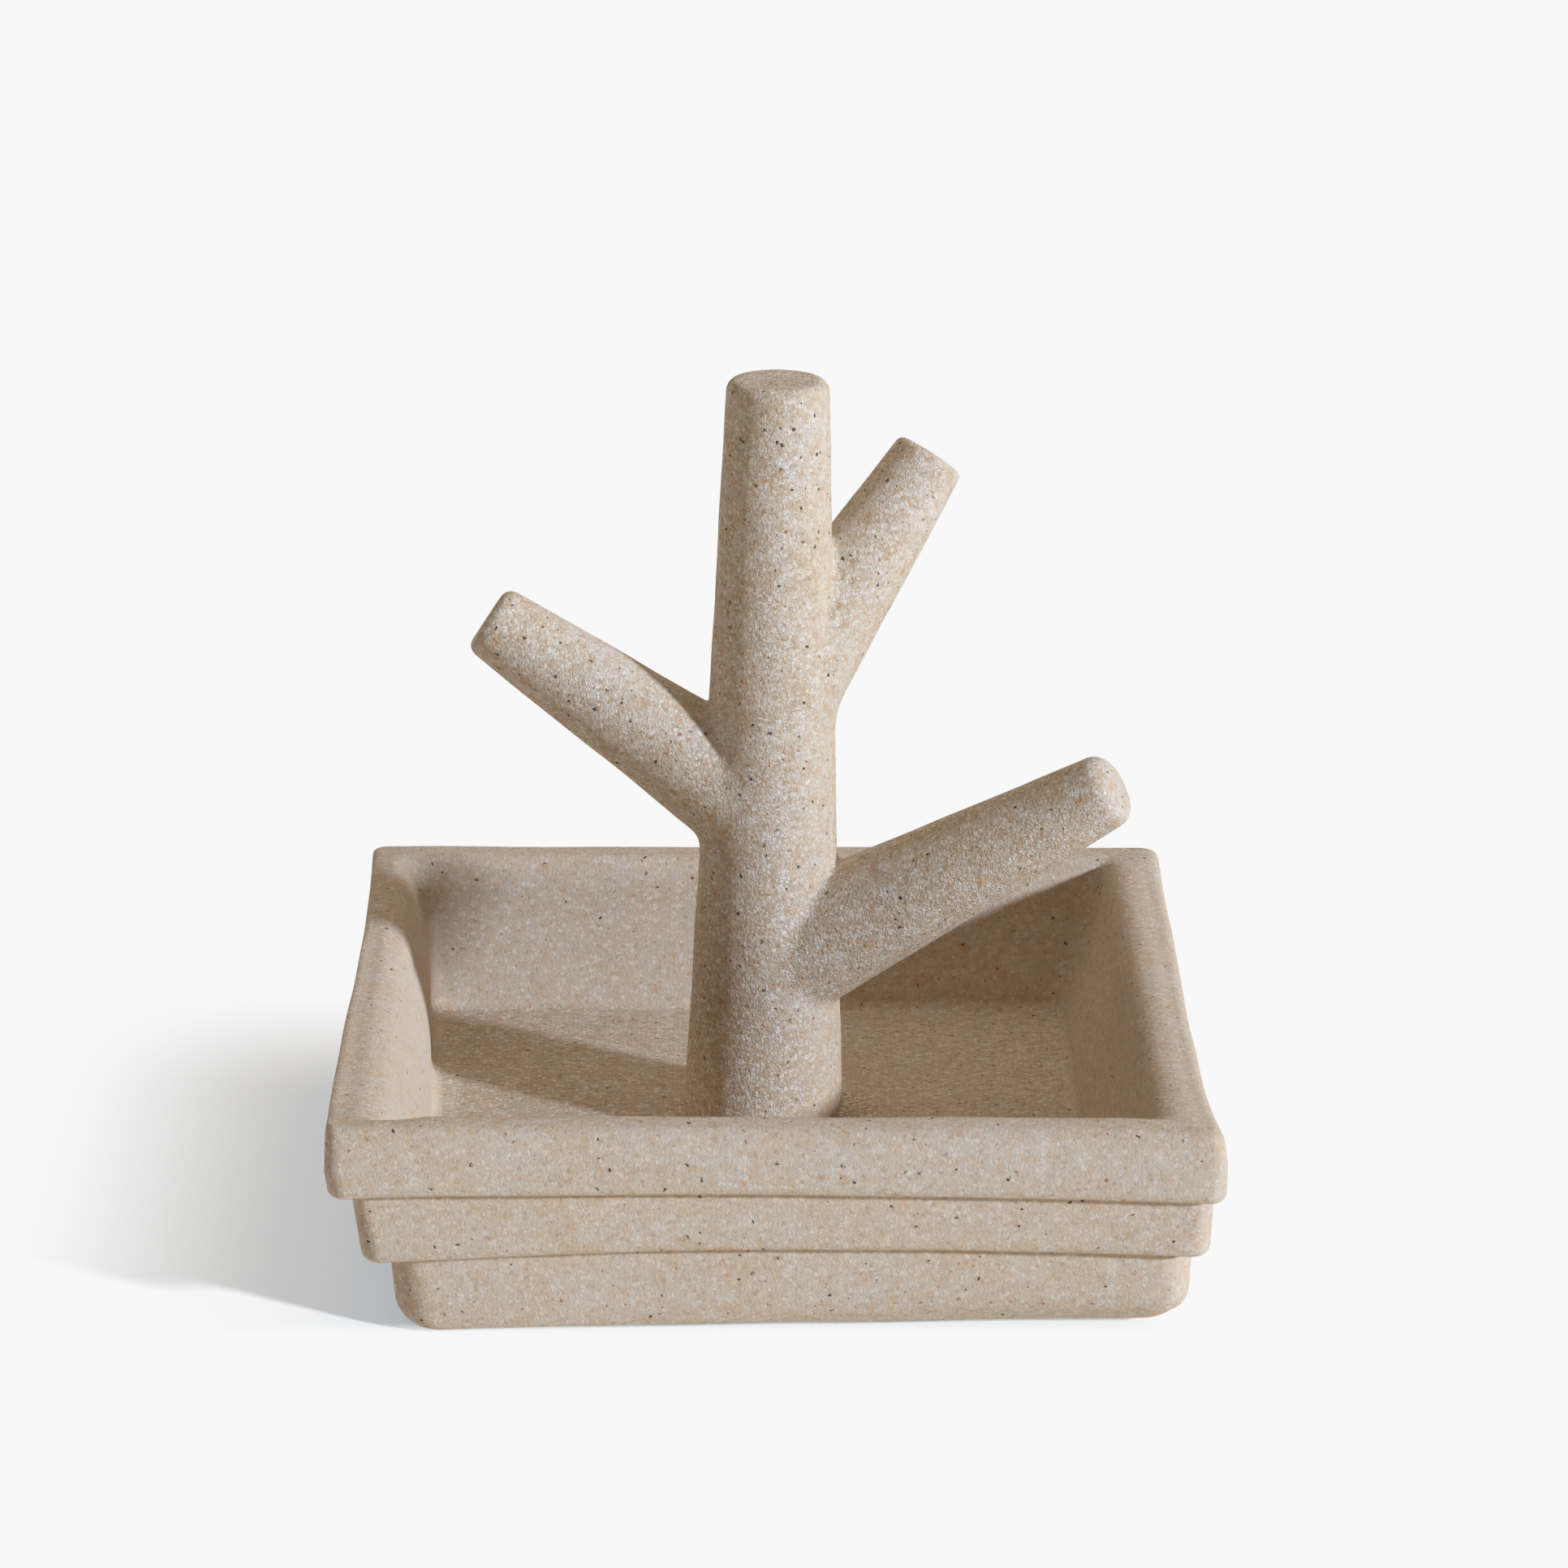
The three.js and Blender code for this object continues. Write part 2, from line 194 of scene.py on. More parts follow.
def tray_rings():
    """The tray's skin: out over the underside, up the tiers, over the rim, down inside and the bore."""
    hole = level(circle(counterbore_radius), underside)
    sole = outline((-46.6, 48.8), (53.0, 48.8), (53.0, -48.6), (-46.6, -51.9), (3.4, 3.4, 3.0, 3.4))
    sole = level(sole, underside)
    foot = square(-51.4, 56.0, -53.6, 53.6, (5.2, 5.2, 4.0, 5.2), underside + foot_round)
    low = square(-51.9, 56.3, -53.7, 53.6, 4.6, bottom_tier_top - crease)
    low_crease = level(grown(low[:, :2], crease), bottom_tier_top)
    under_middle = square(-54.0, 56.9, -55.4, 55.4, 1.6, bottom_tier_top)
    middle_foot = square(-55.5, 58.3, -56.9, 56.9, 3.0, bottom_tier_top + tier_round)
    middle = square(-56.6, 58.5, -57.0, 56.9, 2.4, middle_tier_top - crease)
    middle_crease = level(grown(middle[:, :2], crease), middle_tier_top)
    under_top = square(-58.4, 58.9, -58.6, 58.5, 1.2, middle_tier_top)
    top_foot = square(-59.7, 60.0, -60.0, 59.9, 2.8, middle_tier_top + tier_round)
    fullest = square(-60.0, 60.0, -60.0, 59.9, (2.4, 1.8, 2.4, 2.4), fullest_height)
    shoulder = square(-59.9, 59.9, -58.8, 59.7, (2.3, 1.6, 2.2, 2.2), rim - rim_round)
    rim_out = square(-59.5, 57.8, -56.7, 58.3, (2.0, 1.2, 1.2, 1.2), rim)
    crest = square(-56.4, 53.6, -54.9, 55.6, 1.4, rim)
    crown = level(outline((-54.8, 54.5), (51.4, 54.1), (51.2, -53.9), (-53.8, -54.0), 1.8), rim)
    bend = level(outline((-53.0, 53.1), (50.7, 52.8), (50.6, -52.9), (-51.2, -52.9), 2.2), rim)
    # how far the rim falls off at each ring, in mm: on the right, front, left and back side, and over
    # what length the first and the third of them end before the back corners
    falls = [
        (rim_out, 0.55, 0.2, 0, 0, 12),
        (crest, 0, 0, 0.3, 0, 12),
        (crown, 0.5, 0.12, 0.95, 0.15, 5),
        (bend, 0.85, 0.55, 1.8, 0.55, 3),
    ]
    for ring, right, front, left, back, length in falls:
        x, y = ring[:, 0], ring[:, 1]
        before_back = np.clip((57 - y) / length, 0, 1)
        sides = [(x, right * before_back), (-y, front), (-x, left * before_back), (y, back)]
        ring[:, 2] -= np.max([np.clip((reach - 46) / 4, 0, 1) * fall for reach, fall in sides], 0)
    # at the back the left side falls off outwards as well
    x, y = rim_out[:, 0], rim_out[:, 1]
    behind = np.clip((y - 15) / 20, 0, 1) * np.clip((58 - y) / 10, 0, 1)
    rim_out[:, 2] -= 0.6 * np.clip((-x - 50) / 5, 0, 1) * behind
    lip = level(outline((-52.4, 51.9), (49.5, 51.5), (49.2, -52.0), (-50.2, -52.0), 2.6), rim - 6.0)
    foot_in = outline((-50.5, 45.9), (44.3, 45.9), (44.0, -45.4), (-46.5, -45.4), 2.6)
    wall_foot = level(foot_in, tray_floor + floor_crease)
    floor_edge = level(grown(foot_in, -floor_crease), tray_floor)
    inner = square(-21, 19, -20, 20, 5, tray_floor)
    seat = level(circle(15), tray_floor)
    bore_mouth = level(circle(bore_radius + bore_edge), tray_floor)
    bore_top = level(circle(bore_radius), tray_floor - bore_edge)
    bore_low = level(circle(bore_radius), underside + counterbore_depth)
    ceiling = level(circle(counterbore_radius), underside + counterbore_depth)

    foot_rings = rounded(sole, foot, 9, True)
    outside = [wave(ring, min(1, (i + 1) / 3)) for i, ring in enumerate(foot_rings)]
    tiers = straight(foot, low, 6) + rounded(low, low_crease, 4, False)
    tiers += straight(low_crease, under_middle, 2) + rounded(under_middle, middle_foot, 6, True)
    tiers += straight(middle_foot, middle, 6) + rounded(middle, middle_crease, 4, False)
    tiers += straight(middle_crease, under_top, 2) + rounded(under_top, top_foot, 6, True)
    tiers += straight(top_foot, fullest, 3) + straight(fullest, shoulder, 5)
    outside += [wave(ring) for ring in tiers] + rounded(shoulder, rim_out, 7, False)
    outside = [sole] + [skewed(ring, ring[0, 2] > middle_tier_top) for ring in outside]

    rim_out = skewed(rim_out)
    inside = bent(rim_out, (rim_out * 0.4 + crest * 0.6) + (crest - rim_out) * (0, 0, 0.4), crest, 4)
    inside += bent(crest, crest * 0.5 + crown * 0.5 + (crest - crown) * (0, 0, 0.5), crown, 5)
    inside += bent(crown, bend, lip, 9)
    inside += leaning(lip, wall_foot, 13)
    inside += rounded(wall_foot, floor_edge, 5, False)
    inside += straight(floor_edge, inner, 12)
    inside += straight(inner, seat, 3)
    inside += straight(seat, bore_mouth, 5)
    inside += rounded(bore_mouth, bore_top, 3, True)
    inside += straight(bore_top, bore_low, 4)
    inside += straight(bore_low, ceiling, 2)
    inside += straight(ceiling, hole, 3)
    return outside + inside + straight(hole, sole, 14)[:-1]


def leaning(lip, foot, steps):
    """The inner walls: the left one is nearly upright and flares to the rim, the others lean."""
    rings = []
    for s in range(1, steps + 1):
        down = s / steps
        even = down ** wall_bow
        flared = 1 - (1 - down) ** left_wall_flare
        ring = lip + (foot - lip) * even
        left = np.clip(-ring[:, 0] / 40, 0, 1) ** 3
        ring[:, 0] = lip[:, 0] + (foot - lip)[:, 0] * (even + (flared - even) * left)
        ring[:, 2] = lip[:, 2] + (foot - lip)[:, 2] * down
        rings.append(ring)
    return rings


def closed_skin(name, rings):
    """A skin over rings of as many points each, the last ring joined to the first."""
    total, count = rings.shape[:2]
    faces = []
    for r in range(total):
        here, above = r * count, (r + 1) % total * count
        for a in range(count):
            b = (a + 1) % count
            faces.append((here + a, above + a, above + b, here + b))
    mesh = bpy.data.meshes.new(name)
    mesh.from_pydata((rings.reshape(-1, 3) * MM).tolist(), [], faces)
    return mesh


def roughed(points, amount, length, seed):
    """Long shallow swells in a cast face, as offsets for its points."""
    noise.seed_set(seed)  # the noise would start by the clock
    return np.array([noise.noise_vector(Vector(p) / length) for p in points]) * amount


def placed(name, data):
    """An object in the scene that shows this mesh, or carries this lamp or camera."""
    thing = bpy.data.objects.new(name, data)
    bpy.context.scene.collection.objects.link(thing)
    return thing


def smooth_piece(name, mesh):
    mesh.shade_smooth()
    return placed(name, mesh)


def make_tray():
    rings = tray_rings()
    count = len(rings[0])
    points = np.concatenate(rings)
    offset = roughed(points, unevenness, swell, seed=4)
    reach = np.abs(points[:, :2]).max(1)
    free = np.clip((reach - seat_reach) / seat_blend, 0, 1)
    flat = (np.abs(points[:, 2] - underside) < 0.01) & (reach < sole_reach)
    free[flat] = 0
    points = points + offset * free[:, None]
    low = np.array([tray_low.x, tray_low.y, lowest])
    high = np.array([tray_high.x, tray_high.y, rim])
    points = np.clip(points, low, high)
    return smooth_piece("tray_casting", closed_skin("tray_casting", points.reshape(-1, count, 3)))


tray = make_tray()


def linear(hex_colour):
    """An sRGB hex colour as the linear colour that Blender's sockets take."""
    values = [int(hex_colour[i:i + 2], 16) / 255 for i in (1, 3, 5)]
    return [v / 12.92 if v <= 0.04045 else ((v + 0.055) / 1.055) ** 2.4 for v in values] + [1]


def add(tree, kind, *inputs, named={}, **settings):
    """Adds a node, sets it up, and fills its inputs with values, other nodes or their outputs.

    A kind without Node in its name is one of those that Blender calls ShaderNode.
    """
    made = tree.nodes.new(kind if "Node" in kind else "ShaderNode" + kind)
    for key, value in settings.items():
        setattr(made, key, value)
    open_sockets = [s for s in made.inputs if s.enabled]
    wanted = list(zip(open_sockets, inputs))
    wanted += [(next(s for s in open_sockets if s.name == key), value) for key, value in named.items()]
    for socket, value in wanted:
        if isinstance(value, bpy.types.Node):
            value = next(s for s in value.outputs if s.enabled)
        if isinstance(value, bpy.types.NodeSocket):
            tree.links.new(value, socket)
        elif value is not None:
            socket.default_value = value
    return made


def new_material(name):
    """A material, its empty node tree, and the place on the object in millimetres."""
    material = bpy.data.materials.new(name)
    material.use_nodes = True
    tree = material.node_tree
    tree.nodes.clear()
    metres = add(tree, "TexCoord").outputs["Object"]
    place = add(tree, "VectorMath", metres, named={"Scale": 1 / MM}, operation="SCALE")
    return material, tree, place


def patchy(name, apart, detail, comes_in, colours, roughness):
    """A new material that drifts from one colour and gloss to another, in patches so many mm wide."""
    material, tree, place = new_material(name)
    patch = add(tree, "TexNoise", named={"Vector": place, "Scale": 1 / apart, "Detail": detail})
    patch = add(tree, "MapRange", patch, *comes_in)
    colour = add(tree, "Mix", patch, linear(colours[0]), linear(colours[1]), data_type="RGBA")
    matt = add(tree, "MapRange", patch, 0, 1, *roughness)
    return material, tree, place, {"Base Color": colour, "Roughness": matt}


def sand_resin():
    """Sand-filled polyester resin, matt from the mould: pale quartz grains in a warm, cloudy matrix.

    The eye reads it as fine sandstone: light grains crowd on it, tan patches drift below them, and
    a few rust and near-black grains lie scattered.
    """
    material, tree, even = new_material("sand_filled_resin")

    # sand is irregular: every grain is looked up at a place that is shaken by up to 0.2 mm
    shake = add(tree, "TexNoise", named={"Vector": even, "Scale": 1 / 0.5, "Detail": 2.0})
    shake = add(tree, "VectorMath", shake.outputs["Color"], (0.5, 0.5, 0.5), operation="SUBTRACT")
    shake = add(tree, "VectorMath", shake, named={"Scale": 0.9}, operation="SCALE")
    place = add(tree, "VectorMath", even, shake, operation="ADD")

    # clouds in the resin: broad drifts of 9 mm and tan patches of 1 to 2 mm
    drift = add(tree, "TexNoise", named={"Vector": even, "Scale": 1 / 9, "Detail": 3.0})
    drift = add(tree, "MapRange", drift, 0.38, 0.62, interpolation_type="SMOOTHSTEP")
    cloud = add(tree, "TexNoise", named={"Vector": even, "Scale": 1 / 1.7, "Detail": 3.0})
    cloud = add(tree, "MapRange", cloud, 0.42, 0.7, interpolation_type="SMOOTHSTEP")
    spot = add(tree, "SeparateXYZ", even).outputs

    # The tray was rubbed down before it was moulded. The tree was not, and its grains stand out more,
    # as they do on the tray's floor right round its foot.
    above_tray = add(tree, "Math", spot["Z"], rim + 0.3, operation="GREATER_THAN")
    from_axis = add(tree, "CombineXYZ", spot["X"], spot["Y"], 0.0)
    from_axis = add(tree, "VectorMath", from_axis, operation="LENGTH").outputs["Value"]
    on_trunk = add(tree, "Math", from_axis, 15.0, operation="LESS_THAN")
    coarse = add(tree, "Math", above_tray, on_trunk, operation="MAXIMUM")
    not_below = add(tree, "Math", spot["Z"], tray_floor - 3, operation="GREATER_THAN")
    coarse = add(tree, "Math", coarse, not_below, operation="MULTIPLY")

    upwards = add(tree, "MapRange", spot["Z"], 32.0, 80.0)  # the mix pales upwards
    low = add(tree, "Mix", drift, linear("#D1BDA2"), linear("#D0C0AA"), data_type="RGBA")
    high = add(tree, "Mix", drift, linear("#D7C3A5"), linear("#D9C9B3"), data_type="RGBA")
    colour = add(tree, "Mix", upwards, low.outputs[2], high.outputs[2], data_type="RGBA")
    tan_share = add(tree, "MapRange", coarse, 0, 1, 0.55, 0.85)
    cloud = add(tree, "Math", cloud, tan_share, operation="MULTIPLY")
    colour = add(tree, "Mix", cloud, colour, linear("#D0AF89"), data_type="RGBA")

    # Painted shade: the left part of the floor and of the back wall is made a shade darker in colour,
    # to stand for less light falling there. From where to where that comes in, in mm along each axis.
    painted_shade = add(tree, "Math", 1.0, coarse, operation="SUBTRACT")
    painted_shade_edges = [("X", 10, -25), ("X", -47.5, -44), ("Y", -50, -44), ("Y", 56.5, 55), ("Z", 31, 27)]
    for axis, none, full in painted_shade_edges:
        part = add(tree, "MapRange", spot[axis], none, full, 0, 1)
        painted_shade = add(tree, "Math", painted_shade, part, operation="MULTIPLY")
    painted_shade = add(tree, "Math", painted_shade, 0.24, operation="MULTIPLY")
    colour = add(tree, "Mix", painted_shade, colour, linear("#8F7A62"), data_type="RGBA")
    # The lower half of the trunk is darker and yellower in colour.
    lower_trunk_tint = add(tree, "MapRange", spot["Z"], 55, 20, 0, 0.26)
    lower_trunk_tint = add(tree, "Math", lower_trunk_tint, coarse, operation="MULTIPLY")
    colour = add(tree, "Mix", lower_trunk_tint, colour, linear("#B8986B"), data_type="RGBA")

    # Quartz grains of two sizes: how far apart they lie in mm, how much the pale and the dusky ones
    # show on the tray, and how much on the tree.
    grains = [(0.36, 0.22, 0.2, 1.0, 0.6), (0.68, 0.36, 0.4, 0.7, 0.5)]
    # Painted light: they show less on what faces right, towards the lamp.
    facing = add(tree, "NewGeometry").outputs["Normal"]
    facing = add(tree, "SeparateXYZ", facing).outputs
    grain_show_lit_side_and_floor = add(tree, "MapRange", facing["X"], 0.2, 0.8, 1, 0.4)
    # On the tray's floor, where no tool reaches, they stand out more.
    upright = add(tree, "MapRange", facing["Z"], 0.8, 1, 0, 1)
    on_floor = add(tree, "MapRange", spot["Z"], tray_floor + 2, tray_floor + 1, 0, 0.8)
    on_floor = add(tree, "Math", on_floor, upright, operation="MULTIPLY")
    grain_show_lit_side_and_floor = add(tree, "Math", grain_show_lit_side_and_floor, on_floor, operation="ADD")
    relief = None
    for size, tray_pale, tray_dusky, tree_pale, tree_dusky in grains:
        cells = add(tree, "TexVoronoi", named={"Vector": place, "Scale": 1 / size})
        chance = add(tree, "SeparateColor", cells.outputs["Color"]).outputs
        body = add(tree, "MapRange", cells, 0.8, 0.15, interpolation_type="SMOOTHSTEP")
        pale = add(tree, "MapRange", chance[0], 0.55, 0.85)
        pale = add(tree, "Math", body, pale, operation="MULTIPLY")
        dusky = add(tree, "MapRange", chance[0], 0.4, 0.02)
        dusky = add(tree, "Math", body, dusky, operation="MULTIPLY")
        for cover, on_tray, on_tree, shade in (
            (pale, tray_pale, tree_pale, "#F0E9DC"),
            (dusky, tray_dusky, tree_dusky, "#A18560"),
        ):
            share = add(tree, "MapRange", coarse, 0, 1, on_tray, on_tree)
            share = add(tree, "Math", share, grain_show_lit_side_and_floor, operation="MULTIPLY")
            cover = add(tree, "Math", cover, share, operation="MULTIPLY")
            colour = add(tree, "Mix", cover, colour, linear(shade), data_type="RGBA")
        relief = add(tree, "Math", body, relief, operation="ADD") if relief else body

    # Coloured grains: how far apart in mm, their size in mm, how many of the places are filled on the
    # tray and on the tree, how strong they are, and how much of their radius the soft edge takes.
    coloured = [
        ("#D9A468", 5.5, 1.5, 0.7, 0.7, 0.5, 0.9),  # tan stain
        ("#C98A55", 2.6, 0.85, 0.6, 0.45, 0.7, 0.9),  # faded rust
        ("#A05F33", 2.4, 0.48, 0.65, 0.6, 0.85, 0.5),  # rust
        ("#7C93C4", 9.0, 0.5, 0.5, 0.8, 0.6, 0.4),  # blue-grey
        ("#35261B", 1.7, 0.48, 0.28, 0.6, 0.95, 0.5),  # near black
    ]
    for shade, apart, size, on_tray, on_tree, strength, edge in coloured:
        cells = add(tree, "TexVoronoi", named={"Vector": place, "Scale": 1 / apart})
        chance = add(tree, "SeparateColor", cells.outputs["Color"]).outputs
        smallest, widest = 0.3 * size / apart, 0.6 * size / apart
        radius = add(tree, "MapRange", chance[1], 0, 1, smallest, widest)
        nearness = add(tree, "Math", cells, radius, operation="DIVIDE")
        grain = add(tree, "MapRange", nearness, 1.2, 1.2 - edge, 0, strength)
        filled = add(tree, "MapRange", coarse, 0, 1, on_tray, on_tree)
        chosen = add(tree, "Math", chance[0], filled, operation="LESS_THAN")
        grain = add(tree, "Math", grain, chosen, operation="MULTIPLY")
        colour = add(tree, "Mix", grain, colour, linear(shade), data_type="RGBA")

    # the grains stand a few hundredths of a millimetre out of the resin skin
    grit = add(tree, "TexNoise", named={"Vector": even, "Scale": 1 / 0.4, "Detail": 4.0})
    height = add(tree, "Math", grit, relief, operation="ADD")
    stand = add(tree, "MapRange", coarse, 0, 1, 0.4, 0.9)
    height = add(tree, "Math", height, stand, operation="MULTIPLY")
    bump = add(tree, "Bump", named={"Height": height, "Distance": 0.06 * MM, "Strength": 1.0})
    matt = add(tree, "MapRange", pale, 0, 1, 0.85, 0.5)
    surface = {"Base Color": colour, "Roughness": matt, "Normal": bump}
    shader = add(tree, "BsdfPrincipled", named=surface)
    add(tree, "OutputMaterial", shader)
    return material


cast_resin = sand_resin()
tray.data.materials.append(cast_resin)
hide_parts("tray")
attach(tray, "root")


# Tree: a second casting in the same sand-filled resin, glued and screwed down on the tray's floor.
# A tapered trunk carries three pruned branches, each sawn flat in the original and softened at the
# cut. A socket in its foot holds the threaded insert.

trunk_height = 108.3
trunk_lean = 1.5
trunk_foot_radius = 11.45
trunk_top_radius = 7.1
trunk_waist = 0.2
branches = [
    # name, height of root, length, radius at root, bearing from +X, rise from level, fillet above,
    # fillet below, rounding of the cut end
    ("Left", 46.2, 47.8, 9.0, 172.4, 33.5, 1.6, 2.6, 1.5),
    ("Right lower", 23.2, 58.2, 9.6, -13.4, 31.5, 1.6, 1.2, 2.2),
    ("Right upper", 62.1, 41.0, 8.5, 25.0, 53.3, 1.6, 2.2, 0.9),
]
branch_end_radius = 5.1
branch_root_round = 3.0
crotch_height = 12.0  # the fillet above a branch is reached this far over its root
trunk_top_round = 1.6
foot_round_left, foot_round_right = 0.6, 3.4  # the foot's edge is nearly sharp on the left
tree_unevenness = 0.5
tree_swell = 15.0
socket_radius = 4.3
socket_depth = 14.5
cell = 0.44  # of the grid that the casting's skin is drawn on


def new_tree(name, inputs, result):
    """A Geometry Nodes tree with named inputs, and its Group Input and Group Output nodes."""
    tree = bpy.data.node_groups.new(name, "GeometryNodeTree")
    for label, value in inputs.items():
        kind = "NodeSocketVector" if isinstance(value, tuple) else "NodeSocketFloat"
        if isinstance(value, bpy.types.Material):
            kind = "NodeSocketMaterial"
        socket = tree.interface.new_socket(label, in_out="INPUT", socket_type=kind)
        socket.default_value = value
    tree.interface.new_socket("Result", in_out="OUTPUT", socket_type=result)
    return tree, tree.nodes.new("NodeGroupInput").outputs, tree.nodes.new("NodeGroupOutput").inputs[0]


def heading(bearing, rise):
    """The direction that lies so many degrees round from +X and so many up from level."""
    turn, climb = math.radians(bearing), math.radians(rise)
    level_part = math.cos(climb)
    return Vector((level_part * math.cos(turn), level_part * math.sin(turn), math.sin(climb)))


def tapered_bar():
    """Distance in mm from a round bar that tapers and is cut flat at both ends, with softened edges."""
    sizes = {"Place": (0.0, 0.0, 0.0), "Start": (0.0, 0.0, 0.0), "Direction": (0.0, 0.0, 1.0)}
    for label in ("Length", "Start radius", "End radius", "Start rounding", "End rounding", "Waist"):
        sizes[label] = 1.0
    tree, given, result = new_tree("tapered_bar", sizes, "NodeSocketFloat")
    reach = add(tree, "VectorMath", given["Place"], given["Start"], operation="SUBTRACT")
    along = add(tree, "VectorMath", reach, given["Direction"], operation="DOT_PRODUCT")
    along = along.outputs["Value"]
    reach_squared = add(tree, "VectorMath", reach, reach, operation="DOT_PRODUCT")
    reach_squared = reach_squared.outputs["Value"]
    along_squared = add(tree, "Math", along, along, operation="MULTIPLY")
    across = add(tree, "Math", reach_squared, along_squared, operation="SUBTRACT")
    across = add(tree, "Math", across, 0.0, operation="MAXIMUM")
    across = add(tree, "Math", across, operation="SQRT")

    share = add(tree, "Math", along, given["Length"], operation="DIVIDE", use_clamp=True)
    radius = add(tree, "Mix", share, given["Start radius"], given["End radius"])
    rest = add(tree, "Math", 1.0, share, operation="SUBTRACT")
    middle = add(tree, "Math", share, rest, operation="MULTIPLY")
    drawn_in = add(tree, "Math", middle, given["Waist"], operation="MULTIPLY")
    drawn_in = add(tree, "Math", drawn_in, 4.0, operation="MULTIPLY")  # the whole waist half way up
    radius = add(tree, "Math", radius, drawn_in, operation="SUBTRACT")
    side = add(tree, "Math", across, radius, operation="SUBTRACT")

    half = add(tree, "Math", given["Length"], 0.5, operation="MULTIPLY")
    from_middle = add(tree, "Math", along, half, operation="SUBTRACT")
    cut = add(tree, "Math", from_middle, operation="ABSOLUTE")
    cut = add(tree, "Math", cut, half, operation="SUBTRACT")
    far = add(tree, "Math", from_middle, 0.0, operation="GREATER_THAN")
    rounding = add(tree, "Mix", far, given["Start rounding"], given["End rounding"])

    side = add(tree, "Math", side, rounding, operation="ADD")
    cut = add(tree, "Math", cut, rounding, operation="ADD")
    deepest = add(tree, "Math", side, cut, operation="MAXIMUM")
    inside = add(tree, "Math", deepest, 0.0, operation="MINIMUM")
    side = add(tree, "Math", side, 0.0, operation="MAXIMUM")
    cut = add(tree, "Math", cut, 0.0, operation="MAXIMUM")
    edge = add(tree, "CombineXYZ", side, cut, 0.0)
    edge = add(tree, "VectorMath", edge, operation="LENGTH").outputs["Value"]
    distance = add(tree, "Math", edge, inside, operation="ADD")
    distance = add(tree, "Math", distance, rounding, operation="SUBTRACT")
    tree.links.new(distance.outputs[0], result)
    return tree


